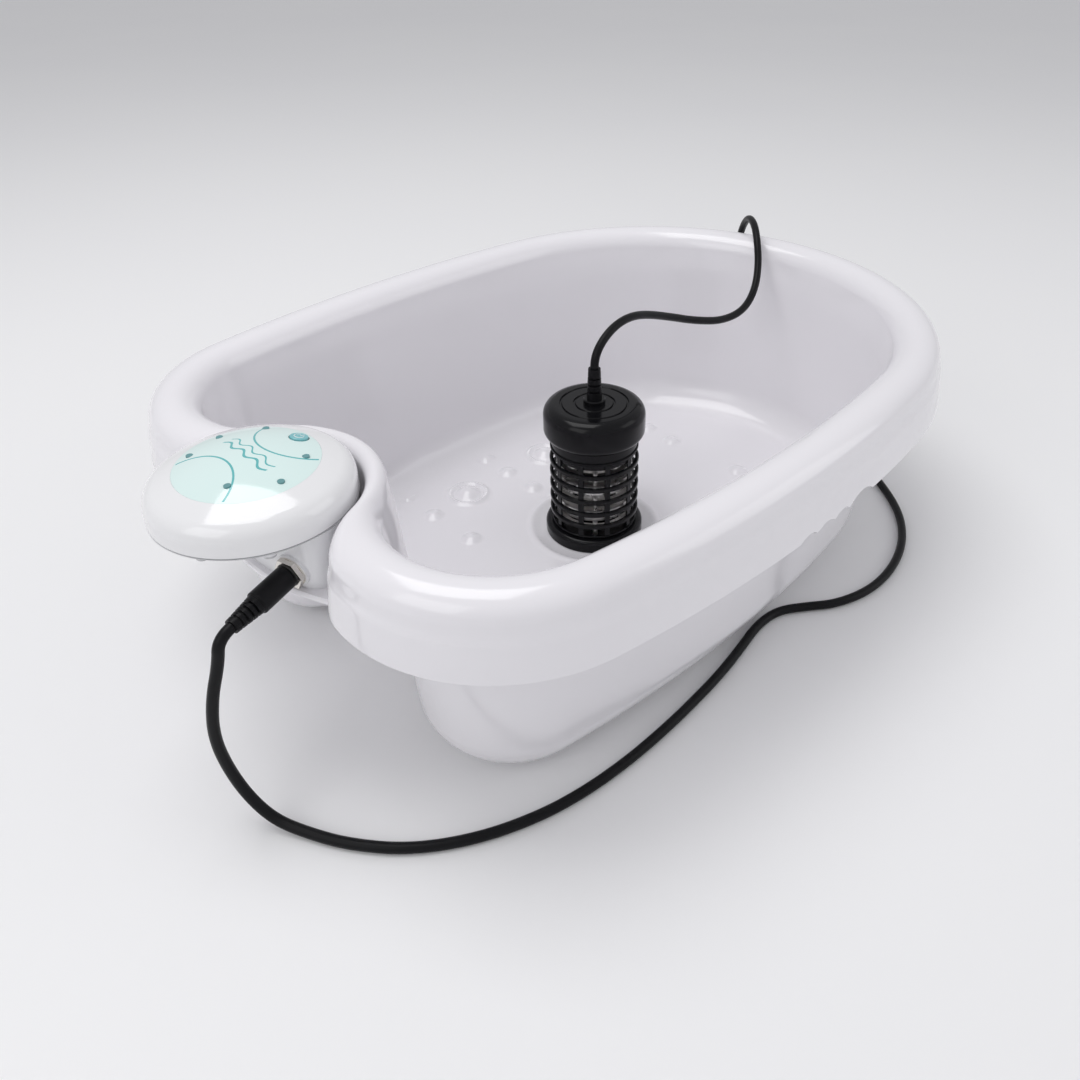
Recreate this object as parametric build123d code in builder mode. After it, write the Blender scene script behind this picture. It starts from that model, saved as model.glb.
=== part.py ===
"""Foot spa basin with a clip-on controller and a lift-out ion array.

Frame: millimetres, +Z up, z = 0 on the surface that the feet stand on. +X runs along the basin from
the controller end to the far end, and x = 0, y = 0 is the middle of the basin and controller in plan.
"""

from build123d import *
from math import asin, atan2, cos, degrees, hypot, pi, radians, sin, sqrt, tan
import os

# ---------------------------------------------------------------- driving dimensions
RIM_TOP = 137.0            # top of the rolled rim
SKIRT_BOTTOM = 101.0       # lower edge of the skirt that hangs from the rim
UNDERSIDE = 2.5            # flat underside of the tub, held up by the feet
FLOOR_TOP = 7.0            # inside floor
SEAT_FLOOR = 6.0           # recess that the array stands in
SKIRT_FLARE = 3.2          # how much wider the skirt is at its lower edge
WALL = 3.0                 # moulded wall
RIM_ROOF = 7.0             # solid depth at the top of the rim
WIDEST_X = 1.5             # where the basin is widest
RECESS_X = -195.5          # centre of the round recess that takes the controller

# plan outlines at the top: far x, far end radius, half width, near x, then the radii of each lobe
# beside the controller, of its inner tip and of the recess
RIM_OUTER = (235.0, 161.0, 165.5, -199.5, 78.0, 27.0, 46.0)
INSIDE_TOP = (209.0, 135.5, 139.5, -173.5, 52.0, 36.0, 56.0)
WALL_DRAFT = 11.0          # how far the walls lean in from the top to the floor

BODY_EDGE_R = 24.0         # rounding between the walls and the underside
FLOOR_EDGE_R = 20.0        # rounding between the walls and the inside floor
RIM_OUTER_R = 5.2
RIM_INNER_R = 4.3

ARRAY_X = 15.0             # the array stands on the basin's centre line
ARRAY_BASE_R = 30.0
ARRAY_CAGE_R = 27.0
CAGE_BOTTOM = 14.0
CAGE_TOP = 66.0
CAP_TOP = 94.0
SEAT_R = 36.5
CAGE_SLOTS = 6
CAGE_BARS = 10

DOME_X = -194.9            # centre of the controller's dome
DOME_R = 43.3
DOME_EQUATOR = 136.5
DOME_RISE = 16.5
DOME_CORNER_R = 9.0        # rounding from the side of the dome into its top
# radius of the gently crowned top, tangent to the rounding
DOME_TOP_R = (((DOME_R - DOME_CORNER_R) ** 2 + DOME_RISE**2 - DOME_CORNER_R**2)
              / (2 * (DOME_RISE - DOME_CORNER_R)))
DOME_SHELL = 2.2
SEAM = 130.5               # joint line between the dome cover and the lower housing
SHELF_TOP = 101.5          # shelf across the bottom of the recess
SHELF_BOTTOM = 98.5
HOUSING_R = 41.0           # lower housing, where it fills the recess
HOUSING_ARC_R = 118.0      # gently curved front of the lower housing
HOUSING_FRONT = -201.5     # front of the lower housing at its foot
HOUSING_WALL = 2.4

JACK_X = -198.7            # where each jack's axis crosses the front of the housing
JACK_Y = 29.9
JACK_Z = 110.0
JACK_TURN = 14.4           # degrees that the jack's axis turns from -X
JACK_DROOP = 7.0           # degrees that it points below the horizontal

CORD_D = 5.0
PLUG_D = 10.6
SEAT_OUT = 0.5             # the jacks' flat seats stand this far in front of the housing
PLUG_TAIL = 34.5           # from the housing to the end of the plug's boot

os.makedirs("parts", exist_ok=True)


def save(builder, name):
    """Label a finished piece and write its STEP file."""
    builder.part.label = name
    export_step(builder.part, f"parts/{name}.step")


# ---------------------------------------------------------------- plan outline of the basin
def side_arc(far_x, end_radius, half_width):
    """Centre height and radius of the long, slightly bowed side that runs into the far end."""
    reach = far_x - end_radius - WIDEST_X
    radius = (reach**2 + half_width**2 - end_radius**2) / (2 * (half_width - end_radius))
    return half_width - radius, radius


def lobe_centre(side_y, side_radius, lobe_radius, tip, tip_radius):
    """Centre of the lobe's outer arc, tangent inside the side arc and around the tip arc."""
    across, up = tip[0] - WIDEST_X, tip[1] - side_y
    span = hypot(across, up)
    from_side, from_tip = side_radius - lobe_radius, lobe_radius - tip_radius
    along = (from_side**2 - from_tip**2 + span**2) / (2 * span)
    aside = sqrt(from_side**2 - along**2)
    return WIDEST_X + (along * across + aside * up) / span, side_y + (along * up - aside * across) / span


def basin_arcs(far_x, end_radius, half_width, near_x, lobe_radius, tip_radius, recess_radius):
    """The closed outline as tangent arcs: (centre, radius, start angle, sweep), anticlockwise."""
    side_y, side_radius = side_arc(far_x, end_radius, half_width)
    tip_x = near_x + tip_radius
    tip_y = sqrt((recess_radius + tip_radius) ** 2 - (tip_x - RECESS_X) ** 2)
    lobe_x, lobe_y = lobe_centre(side_y, side_radius, lobe_radius, (tip_x, tip_y), tip_radius)
    end_turn = degrees(atan2(-side_y, far_x - end_radius - WIDEST_X))
    side_turn = degrees(atan2(lobe_y - side_y, lobe_x - WIDEST_X))
    lobe_turn = degrees(atan2(tip_y - lobe_y, tip_x - lobe_x)) % 360
    tip_turn = degrees(atan2(-tip_y, RECESS_X - tip_x)) % 360
    recess_turn = degrees(atan2(tip_y, tip_x - RECESS_X))
    return [
        ((far_x - end_radius, 0), end_radius, -end_turn, 2 * end_turn),
        ((WIDEST_X, side_y), side_radius, end_turn, side_turn - end_turn),
        ((lobe_x, lobe_y), lobe_radius, side_turn, lobe_turn - side_turn),
        ((tip_x, tip_y), tip_radius, lobe_turn, tip_turn - lobe_turn),
        ((RECESS_X, 0), recess_radius, recess_turn, -2 * recess_turn),
        ((tip_x, -tip_y), tip_radius, -tip_turn, tip_turn - lobe_turn),
        ((lobe_x, -lobe_y), lobe_radius, -lobe_turn, lobe_turn - side_turn),
        ((WIDEST_X, -side_y), side_radius, -side_turn, side_turn - end_turn),
    ]


def grown(outline, by):
    """The same outline moved outwards all round by a distance, inwards when it is negative."""
    outward = (1, 1, 1, -1, 1, 1, -1)
    return tuple(value + way * by for value, way in zip(outline, outward))


def draw_outline(outline):
    """Draw and fill the outline in the open sketch."""
    with BuildLine() as rim_line:
        for centre, radius, start, sweep in basin_arcs(*outline):
            CenterArc(centre, radius, start, sweep)
    make_face(rim_line.edges())


def between(low, high, bottom, top):
    """The outline carried on in a straight draft, where it is low at bottom and high at top."""
    def at(z):
        share = (z - bottom) / (top - bottom)
        return tuple(a + (b - a) * share for a, b in zip(low, high))
    return at


inside_at = between(grown(INSIDE_TOP, -WALL_DRAFT), INSIDE_TOP, FLOOR_TOP, RIM_TOP)
body_at = between(grown(INSIDE_TOP, WALL - WALL_DRAFT), grown(INSIDE_TOP, WALL), UNDERSIDE, RIM_TOP)
skirt_at = between(grown(RIM_OUTER, SKIRT_FLARE), RIM_OUTER, SKIRT_BOTTOM, RIM_TOP)

# ---------------------------------------------------------------- massage bumps on the floor
with BuildPart() as small_bump:
    with BuildSketch(Plane.XZ) as small_bump_profile:
        with BuildLine():
            Line((0, -1), (0, 2.4))
            ThreePointArc((0, 2.4), (4.2, 1.6), (6.6, 0))
            Polyline((6.6, 0), (6.6, -1), (0, -1))
        make_face()
    revolve(axis=Axis.Z)

with BuildPart() as large_bump:
    with BuildSketch(Plane.XZ) as large_bump_profile:
        with BuildLine():
            Line((0, -1), (0, 4.6))
            ThreePointArc((0, 4.6), (5.4, 3.6), (9.0, 0.9))
            Line((9.0, 0.9), (10.5, 0.9))
            ThreePointArc((10.5, 0.9), (12.4, 1.9), (14.5, 0))
            Polyline((14.5, 0), (14.5, -1), (0, -1))
        make_face()
    revolve(axis=Axis.Z)

SMALL_BUMPS = [
    (-49.0, 44.0), (-49.5, 80.5), (-48.5, 110.0),
    (16.5, 57.5), (17.5, 84.0), (18.5, 108.0),
    (128.0, 29.0), (130.0, 54.0), (127.5, 79.0),
]
LARGE_BUMPS = [(-18.5, 83.0), (51.5, 82.0)]

# ---------------------------------------------------------------- the tub
GRIP_PITCH = 14.0
GRIP_R = 9.0
GRIP_DEPTH = 2.6
GRIP_FIRST_X = -22.5
GRIP_COUNT = 3
NOTCH_X = 23.5
NOTCH_R = 16.0
NOTCH_DEPTH = 4.5
GRIP_REACH = 26.0          # how far the grip cutters run in from the widest point

with BuildPart() as basin_tub:
    # rim and skirt, open underneath
    with BuildSketch(Plane.XY.offset(SKIRT_BOTTOM)):
        draw_outline(skirt_at(SKIRT_BOTTOM))
    with BuildSketch(Plane.XY.offset(RIM_TOP)):
        draw_outline(skirt_at(RIM_TOP))
    loft(ruled=True)
    with BuildSketch(Plane.XY.offset(SKIRT_BOTTOM)):
        draw_outline(grown(skirt_at(SKIRT_BOTTOM), -WALL))
    with BuildSketch(Plane.XY.offset(RIM_TOP - RIM_ROOF)):
        draw_outline(grown(skirt_at(RIM_TOP - RIM_ROOF), -WALL))
    loft(ruled=True, mode=Mode.SUBTRACT)
    # finger grips along the lower edge of both sides
    for side in (-1, 1):
        with Locations(Plane.XZ.offset(side * (RIM_OUTER[2] - GRIP_REACH / 2 + SKIRT_FLARE))):
            with Locations(*[(GRIP_FIRST_X + GRIP_PITCH * i, SKIRT_BOTTOM - GRIP_R + GRIP_DEPTH)
                             for i in range(GRIP_COUNT)]):
                Cylinder(GRIP_R, GRIP_REACH, mode=Mode.SUBTRACT)
            with Locations((NOTCH_X, SKIRT_BOTTOM - NOTCH_R + NOTCH_DEPTH)):
                Cylinder(NOTCH_R, GRIP_REACH, mode=Mode.SUBTRACT)

with BuildPart() as tub_body:
    with BuildSketch(Plane.XY.offset(UNDERSIDE)):
        draw_outline(body_at(UNDERSIDE))
    with BuildSketch(Plane.XY.offset(RIM_TOP - RIM_ROOF)):
        draw_outline(body_at(RIM_TOP - RIM_ROOF))
    loft(ruled=True)
    fillet(tub_body.faces().sort_by(Axis.Z)[0].edges(), BODY_EDGE_R)

with BuildPart() as tub_inside:
    with BuildSketch(Plane.XY.offset(FLOOR_TOP)):
        draw_outline(inside_at(FLOOR_TOP))
    with BuildSketch(Plane.XY.offset(RIM_TOP)):
        draw_outline(inside_at(RIM_TOP))
    loft(ruled=True)
    fillet(tub_inside.faces().sort_by(Axis.Z)[0].edges(), FLOOR_EDGE_R)

MOUNT_SCREW_XY = [(-170.0, -26.0), (-170.0, 26.0)]
FOOT_XY = [(x, side * y) for x, y in ((-94.5, 62.0), (125.5, 52.0)) for side in (-1, 1)]
FOOT_R = 9.0
FOOT_POCKET = 1.2          # how deep the feet are let into the underside
SEAT_RING = (38.5, 41.5)   # low ridge around the array's recess
SEAT_RING_HEIGHT = 0.8

with basin_tub:
    add(tub_body.part)
    # shelf across the bottom of the recess, which the controller stands on
    with BuildSketch(Plane.XY.offset(SHELF_BOTTOM)):
        with Locations((RECESS_X, 0)):
            Circle(INSIDE_TOP[6] + 0.5)
        with Locations((HOUSING_FRONT - WALL + HOUSING_ARC_R, 0)):
            Circle(HOUSING_ARC_R, mode=Mode.INTERSECT)
    extrude(amount=SHELF_TOP - SHELF_BOTTOM)
    add(tub_inside.part, mode=Mode.SUBTRACT)
    # recess and ridge that hold the array, and the massage bumps for each foot
    with Locations((ARRAY_X, 0, FLOOR_TOP)):
        Cylinder(SEAT_R, FLOOR_TOP - SEAT_FLOOR, align=(Align.CENTER, Align.CENTER, Align.MAX),
                 mode=Mode.SUBTRACT)
    with BuildSketch(Plane.XY.offset(FLOOR_TOP)):
        with Locations((ARRAY_X, 0)):
            Circle(SEAT_RING[1])
            Circle(SEAT_RING[0], mode=Mode.SUBTRACT)
    extrude(amount=SEAT_RING_HEIGHT)
    for side in (-1, 1):
        with Locations(*[(x, side * y, FLOOR_TOP) for x, y in SMALL_BUMPS]):
            add(small_bump.part)
        with Locations(*[(x, side * y, FLOOR_TOP) for x, y in LARGE_BUMPS]):
            add(large_bump.part)
    with Locations(*[(x, y, UNDERSIDE) for x, y in FOOT_XY]):
        Cylinder(FOOT_R, FOOT_POCKET, align=(Align.CENTER, Align.CENTER, Align.MIN), mode=Mode.SUBTRACT)
    with Locations(*[(x, y, SHELF_BOTTOM) for x, y in MOUNT_SCREW_XY]):
        Cylinder(1.7, SHELF_TOP - SHELF_BOTTOM, align=(Align.CENTER, Align.CENTER, Align.MIN),
                 mode=Mode.SUBTRACT)
    rim_face = basin_tub.faces().filter_by(Axis.Z).sort_by(Axis.Z)[-1]
    fillet(rim_face.outer_wire().edges(), RIM_OUTER_R)
    rim_face = basin_tub.faces().filter_by(Axis.Z).sort_by(Axis.Z)[-1]
    fillet(rim_face.inner_wires().edges(), RIM_INNER_R)
save(basin_tub, "basin_tub")
print("tub", basin_tub.part.is_valid, round(basin_tub.part.volume), len(basin_tub.part.solids()))

# ---------------------------------------------------------------- rubber feet under the tub
with BuildPart() as rubber_feet:
    with Locations(*[(x, y, 0) for x, y in FOOT_XY]):
        Cylinder(FOOT_R - 0.1, UNDERSIDE + FOOT_POCKET, align=(Align.CENTER, Align.CENTER, Align.MIN))
    fillet(rubber_feet.faces().group_by(Axis.Z)[0].edges(), 0.8)
save(rubber_feet, "rubber_feet")


# ---------------------------------------------------------------- controller, lower housing
def housing_solid(inset, bottom):
    """The lower housing up to the joint line: it fills the recess, curved in front, wider upwards."""
    with BuildPart() as solid:
        for z, grow in ((bottom, 0.0), (SEAM - 0.5, HOUSING_LEAN)):
            with BuildSketch(Plane.XY.offset(z)) as plan:
                with Locations((RECESS_X, 0)):
                    Circle(HOUSING_R - inset + grow)
                with Locations((HOUSING_FRONT + HOUSING_ARC_R, 0)):
                    Circle(HOUSING_ARC_R - inset + grow, mode=Mode.INTERSECT)
                fillet(plan.vertices(), HOUSING_CORNER_R - inset + grow)
        loft(ruled=True)
    return solid.part


def dome_top(radius, inset=0.0):
    """Height of the dome's crowned top at a distance from its axis, or of its inside."""
    return DOME_EQUATOR + DOME_RISE - DOME_TOP_R + sqrt((DOME_TOP_R - inset) ** 2 - radius**2)


def polar(radius, angle, z):
    """A point around the dome's axis."""
    return (DOME_X + radius * cos(radians(angle)), radius * sin(radians(angle)), z)


def jack_plane(side, out=0.0):
    """Plane across a jack's axis, facing outwards, a distance out from the housing."""
    turn, droop = radians(JACK_TURN), radians(JACK_DROOP)
    axis = (-cos(turn) * cos(droop), side * sin(turn) * cos(droop), -sin(droop))
    origin = (JACK_X + axis[0] * out, side * JACK_Y + axis[1] * out, JACK_Z + axis[2] * out)
    return Plane(origin=origin, x_dir=(sin(turn), side * cos(turn), 0), z_dir=axis)


HOUSING_LEAN = 2.3         # how much wider the housing is at the joint line
HOUSING_CORNER_R = 9.0
DISH_BOTTOM = 127.0
COVER_SCREWS = [polar(35.5, angle, 0)[:2] for angle in (-155, -112, 112, 155)]
BOSS_R = 3.8

with BuildPart() as dish:
    with BuildSketch(Plane.XZ):
        with BuildLine():
            Line((0, DISH_BOTTOM), (30.0, DISH_BOTTOM))
            ThreePointArc((30.0, DISH_BOTTOM), (39.5, 128.0), (DOME_R, SEAM))
            Polyline((DOME_R, SEAM), (0, SEAM), (0, DISH_BOTTOM))
        make_face()
    revolve(axis=Axis.Z)

with BuildPart() as controller_base:
    add(housing_solid(0, SHELF_TOP))
    add(dish.part.moved(Location((DOME_X, 0, 0))))
    # pads that carry the cover's screws
    with Locations(*[(x, y, DISH_BOTTOM - 0.5) for x, y in COVER_SCREWS]):
        Cylinder(BOSS_R, SEAM - DISH_BOTTOM + 0.5, align=(Align.CENTER, Align.CENTER, Align.MIN))
    # hollow housing and the shallow tray above it
    add(housing_solid(HOUSING_WALL, SHELF_TOP + HOUSING_WALL), mode=Mode.SUBTRACT)
    with Locations((DOME_X, 0, SEAM)):
        Cylinder(30.5, 1.6, align=(Align.CENTER, Align.CENTER, Align.MAX), mode=Mode.SUBTRACT)
    # pillars for the power board, posts for the panel board and bosses for the shelf screws
    with Locations(*[(x, y, SHELF_TOP) for x in (-187, -163) for y in (-13.5, 13.5)]):
        Cylinder(2.5, 4.5, align=(Align.CENTER, Align.CENTER, Align.MIN))
    with Locations(*[(x, y, SHELF_TOP) for x, y in MOUNT_SCREW_XY]):
        Cylinder(3.8, 12.0, align=(Align.CENTER, Align.CENTER, Align.MIN))
        Cylinder(1.2, 9.0, align=(Align.CENTER, Align.CENTER, Align.MIN), mode=Mode.SUBTRACT)
    with Locations(*[(x, y, DISH_BOTTOM - 0.5) for x, y in COVER_SCREWS]):
        Cylinder(1.6, SEAM - DISH_BOTTOM + 0.5, align=(Align.CENTER, Align.CENTER, Align.MIN),
                 mode=Mode.SUBTRACT)
    # a flat seat and a hole for each jack
    for side in (-1, 1):
        with Locations(jack_plane(side, -4.0)):
            Cylinder(8.0, 4.0 + SEAT_OUT, align=(Align.CENTER, Align.CENTER, Align.MIN))
    for side in (-1, 1):
        with Locations(jack_plane(side, -4.0)):
            Cylinder(5.6, 5.5, align=(Align.CENTER, Align.CENTER, Align.MIN), mode=Mode.SUBTRACT)
save(controller_base, "controller_base")

# ---------------------------------------------------------------- controller, dome and seal
BUTTON_OUT = 24.5
BUTTON_TILT = degrees(asin(BUTTON_OUT / DOME_TOP_R))
BUTTON_PLANE = Plane(
    origin=(DOME_X + BUTTON_OUT, 0, dome_top(BUTTON_OUT)), x_dir=(0, 1, 0),
    z_dir=(sin(radians(BUTTON_TILT)), 0, cos(radians(BUTTON_TILT))))
BUTTON_R = 4.0
LENS_XY = [(18, -16), (19, 18), (-16, -14), (-15, 20), (1, -25), (1, 25)]
LENS_R = 1.5
SEAL = 0.8                 # thickness of the seal in the joint line
OVERLAY_R = 30.0
OVERLAY = 0.4
GAP = 0.05


def draw_dome(inset):
    """Half profile of the dome above the joint line, or of its inside."""
    corner_x = DOME_R - DOME_CORNER_R
    corner_r = DOME_CORNER_R - inset
    meet = asin(corner_x / (DOME_TOP_R - DOME_CORNER_R))
    with BuildLine() as half:
        Line((0, SEAM + SEAL), (DOME_R - inset, SEAM + SEAL))
        Line((DOME_R - inset, SEAM + SEAL), (DOME_R - inset, DOME_EQUATOR))
        CenterArc((corner_x, DOME_EQUATOR), corner_r, 0, 90 - degrees(meet))
        CenterArc((0, DOME_EQUATOR + DOME_RISE - DOME_TOP_R), DOME_TOP_R - inset,
                  90 - degrees(meet), degrees(meet))
        Line((0, dome_top(0, inset)), (0, SEAM + SEAL))
    make_face(half.edges())


def dome_solid(inset):
    """The dome filled in, standing on its axis at the origin."""
    with BuildPart() as solid:
        with BuildSketch(Plane.XZ):
            draw_dome(inset)
        revolve(axis=Axis.Z)
    return solid.part.moved(Location((DOME_X, 0, 0)))


def skin_slice(radius, thickness):
    """The top's skin out to a radius, down to a thickness below the surface."""
    with BuildPart() as slice_part:
        with Locations((DOME_X, 0, DOME_EQUATOR + DOME_RISE - DOME_TOP_R)):
            Sphere(DOME_TOP_R)
            Sphere(DOME_TOP_R - thickness, mode=Mode.SUBTRACT)
        with Locations((DOME_X, 0, DOME_EQUATOR)):
            Cylinder(radius, 40, align=(Align.CENTER, Align.CENTER, Align.MIN), mode=Mode.INTERSECT)
    return slice_part.part


with BuildPart() as controller_cover:
    add(dome_solid(0))
    add(dome_solid(DOME_SHELL), mode=Mode.SUBTRACT)
    with Locations(*[(x, y, SEAM + SEAL) for x, y in COVER_SCREWS]):
        Cylinder(BOSS_R, 11.0, align=(Align.CENTER, Align.CENTER, Align.MIN))
        Cylinder(1.2, 9.5, align=(Align.CENTER, Align.CENTER, Align.MIN), mode=Mode.SUBTRACT)
    add(skin_slice(OVERLAY_R + GAP, OVERLAY), mode=Mode.SUBTRACT)
    with Locations(BUTTON_PLANE):
        Cylinder(BUTTON_R + 0.4, 8, mode=Mode.SUBTRACT)
    for x, y in LENS_XY:
        with Locations((DOME_X + x, y, dome_top(hypot(x, y)) - 1.6)):
            Cylinder(LENS_R + GAP, 5, align=(Align.CENTER, Align.CENTER, Align.MIN), mode=Mode.SUBTRACT)
save(controller_cover, "controller_cover")

with BuildPart() as panel_overlay:
    add(skin_slice(OVERLAY_R, OVERLAY))
    with Locations(BUTTON_PLANE):
        Cylinder(BUTTON_R + 0.4, 8, mode=Mode.SUBTRACT)
    for x, y in LENS_XY:
        with Locations((DOME_X + x, y, DOME_EQUATOR)):
            Cylinder(LENS_R + GAP, 30, align=(Align.CENTER, Align.CENTER, Align.MIN), mode=Mode.SUBTRACT)
save(panel_overlay, "panel_overlay")

with BuildPart() as indicator_lenses:
    for x, y in LENS_XY:
        with Locations((DOME_X + x, y, dome_top(hypot(x, y)) - 1.6)):
            Cylinder(LENS_R, 1.9, align=(Align.CENTER, Align.CENTER, Align.MIN))
save(indicator_lenses, "indicator_lenses")

with BuildPart() as cover_seal:
    with Locations((DOME_X, 0, SEAM)):
        Cylinder(DOME_R - 0.5, SEAL, align=(Align.CENTER, Align.CENTER, Align.MIN))
        Cylinder(DOME_R - 2.4, SEAL, align=(Align.CENTER, Align.CENTER, Align.MIN), mode=Mode.SUBTRACT)
save(cover_seal, "cover_seal")

with BuildPart() as power_button:
    with Locations(BUTTON_PLANE.offset(-2.8)):
        Cylinder(BUTTON_R, 3.5, align=(Align.CENTER, Align.CENTER, Align.MIN))
    fillet(power_button.edges().group_by(Axis(BUTTON_PLANE.origin, BUTTON_PLANE.z_dir))[-1], 0.5)
    with Locations(BUTTON_PLANE.offset(-3.8)):
        Cylinder(BUTTON_R + 1.6, 1.0, align=(Align.CENTER, Align.CENTER, Align.MIN))
    with Locations(BUTTON_PLANE.offset(-9.0)):
        Cylinder(1.5, 5.2, align=(Align.CENTER, Align.CENTER, Align.MIN))
save(power_button, "power_button")

# ---------------------------------------------------------------- controller, boards inside
BOARD_Z = 133.0            # underside of the panel board
BOARD = 1.6
SWITCH_XY = (DOME_X + 22.0, 0)

with BuildPart() as board_posts:
    with Locations(*[polar(26.5, angle, SEAM - 1.6) for angle in (90, 180, 270)]):
        Cylinder(2.2, BOARD_Z - SEAM + 1.6, align=(Align.CENTER, Align.CENTER, Align.MIN))
save(board_posts, "board_posts")

with BuildPart() as circuit_board:
    with Locations((DOME_X, 0, BOARD_Z)):
        Cylinder(30.0, BOARD, align=(Align.CENTER, Align.CENTER, Align.MIN))
save(circuit_board, "circuit_board")

with BuildPart() as tact_switch:
    with Locations((*SWITCH_XY, BOARD_Z + BOARD)):
        Box(6, 6, 4.6, align=(Align.CENTER, Align.CENTER, Align.MIN))
        Cylinder(1.7, 5.4, align=(Align.CENTER, Align.CENTER, Align.MIN))
save(tact_switch, "tact_switch")

with BuildPart() as indicator_leds:
    with Locations(*[(DOME_X + x, y, BOARD_Z + BOARD) for x, y in LENS_XY]):
        Cylinder(1.3, 4.0, align=(Align.CENTER, Align.CENTER, Align.MIN))
        Box(3.2, 3.2, 1.4, align=(Align.CENTER, Align.CENTER, Align.MIN))
save(indicator_leds, "indicator_leds")

POWER_BOARD_TOP = SHELF_TOP + 4.5 + BOARD
with BuildPart() as power_board:
    with Locations((-175.5, 0, SHELF_TOP + 4.5)):
        Box(30, 33, BOARD, align=(Align.CENTER, Align.CENTER, Align.MIN))
save(power_board, "power_board")

with BuildPart() as transformer:
    with Locations((-170, 5, POWER_BOARD_TOP)):
        Box(16, 22, 15, align=(Align.CENTER, Align.CENTER, Align.MIN))
        Box(11, 25, 12, align=(Align.CENTER, Align.CENTER, Align.MIN))
save(transformer, "transformer")

with BuildPart() as relay:
    with Locations((-185.5, 9, POWER_BOARD_TOP)):
        Box(10, 15, 12, align=(Align.CENTER, Align.CENTER, Align.MIN))
    fillet(relay.edges().filter_by(Axis.Z), 0.6)
save(relay, "relay")

with BuildPart() as capacitors:
    with Locations((-170, -12.5, POWER_BOARD_TOP), (-185, -8, POWER_BOARD_TOP)):
        Cylinder(4.0, 14, align=(Align.CENTER, Align.CENTER, Align.MIN))
save(capacitors, "capacitors")

# ---------------------------------------------------------------- jacks in the housing's front
BARREL_R = 2.75            # round barrel of the plug


def draw_jack(side, hole):
    """A round socket that passes through the housing, with a collar behind the wall."""
    with Locations(jack_plane(side, -15.0)):
        Cylinder(5.5, 15.0 + SEAT_OUT + 3.0, align=(Align.CENTER, Align.CENTER, Align.MIN))
    with Locations(jack_plane(side, -7.5)):
        Cylinder(6.8, 2.0, align=(Align.CENTER, Align.CENTER, Align.MIN))
    with Locations(jack_plane(side, -13.0)):
        Cylinder(hole, 20, align=(Align.CENTER, Align.CENTER, Align.MIN), mode=Mode.SUBTRACT)


def draw_jack_nut(side):
    """A hexagonal nut that holds the socket against the outside of the housing."""
    with BuildSketch(jack_plane(side, SEAT_OUT + 0.5)) as hexagon:
        RegularPolygon(7.6, 6)
        Circle(5.5 + GAP, mode=Mode.SUBTRACT)
    extrude(hexagon.sketch, amount=2.2)


def draw_jack_washer(side):
    """A thin washer between nut and housing."""
    with Locations(jack_plane(side, SEAT_OUT)):
        Cylinder(7.0, 0.5, align=(Align.CENTER, Align.CENTER, Align.MIN))
        Cylinder(5.5 + GAP, 0.5, align=(Align.CENTER, Align.CENTER, Align.MIN), mode=Mode.SUBTRACT)


with BuildPart() as array_jack:
    draw_jack(-1, BARREL_R + 0.35)
save(array_jack, "array_jack")

with BuildPart() as power_jack:
    draw_jack(1, 3.0)
    with Locations(jack_plane(1, -13.0)):
        Cylinder(1.0, 12.0, align=(Align.CENTER, Align.CENTER, Align.MIN))
save(power_jack, "power_jack")

with BuildPart() as jack_nuts:
    draw_jack_nut(-1)
    draw_jack_nut(1)
save(jack_nuts, "jack_nuts")

with BuildPart() as jack_washers:
    draw_jack_washer(-1)
    draw_jack_washer(1)
save(jack_washers, "jack_washers")


# ---------------------------------------------------------------- screws
def draw_screw(head_r, head, shank_r, shank):
    """A pan-head screw pointing up, its head's underside at the local origin."""
    Cylinder(head_r, head, align=(Align.CENTER, Align.CENTER, Align.MAX))
    Cylinder(shank_r, shank, align=(Align.CENTER, Align.CENTER, Align.MIN))


with BuildPart() as cover_screws:
    with Locations(*[(x, y, DISH_BOTTOM - 0.5) for x, y in COVER_SCREWS]):
        draw_screw(2.8, 1.6, 1.15, 12.0)
save(cover_screws, "cover_screws")

with BuildPart() as mounting_screws:
    with Locations(*[(x, y, SHELF_BOTTOM) for x, y in MOUNT_SCREW_XY]):
        draw_screw(3.2, 1.8, 1.15, 11.0)
save(mounting_screws, "mounting_screws")

# ---------------------------------------------------------------- plug on the array's cord
with BuildPart() as plug_tip:
    with Locations(jack_plane(-1, -10.5)):
        Cylinder(1.2, 5.0, align=(Align.CENTER, Align.CENTER, Align.MIN))
save(plug_tip, "plug_tip")

with BuildPart() as plug_barrel:
    with Locations(jack_plane(-1, -8.0)):
        Cylinder(BARREL_R, 8.0 + SEAT_OUT + 3.4, align=(Align.CENTER, Align.CENTER, Align.MIN))
        Cylinder(1.2, 2.5, align=(Align.CENTER, Align.CENTER, Align.MIN), mode=Mode.SUBTRACT)
save(plug_barrel, "plug_barrel")

BODY_START = SEAT_OUT + 3.4
BOOT_START = 21.0
with BuildPart() as plug_body:
    with Locations(jack_plane(-1, BODY_START)):
        Cylinder(PLUG_D / 2, BOOT_START - BODY_START, align=(Align.CENTER, Align.CENTER, Align.MIN))
    fillet(plug_body.edges().filter_by(GeomType.CIRCLE), 0.7)
save(plug_body, "plug_body")

BOOT_RIBS = 4
with BuildPart() as plug_boot:
    with BuildSketch(jack_plane(-1, BOOT_START)):
        Circle(4.6)
    with BuildSketch(jack_plane(-1, PLUG_TAIL)):
        Circle(3.3)
    loft(ruled=True)
    for i in range(BOOT_RIBS):
        with Locations(jack_plane(-1, BOOT_START + 2.4 + 2.6 * i)):
            Cylinder(6, 1.0, align=(Align.CENTER, Align.CENTER, Align.MIN), mode=Mode.SUBTRACT)
            Cylinder(3.0, 1.0, align=(Align.CENTER, Align.CENTER, Align.MIN))
save(plug_boot, "plug_boot")


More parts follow.
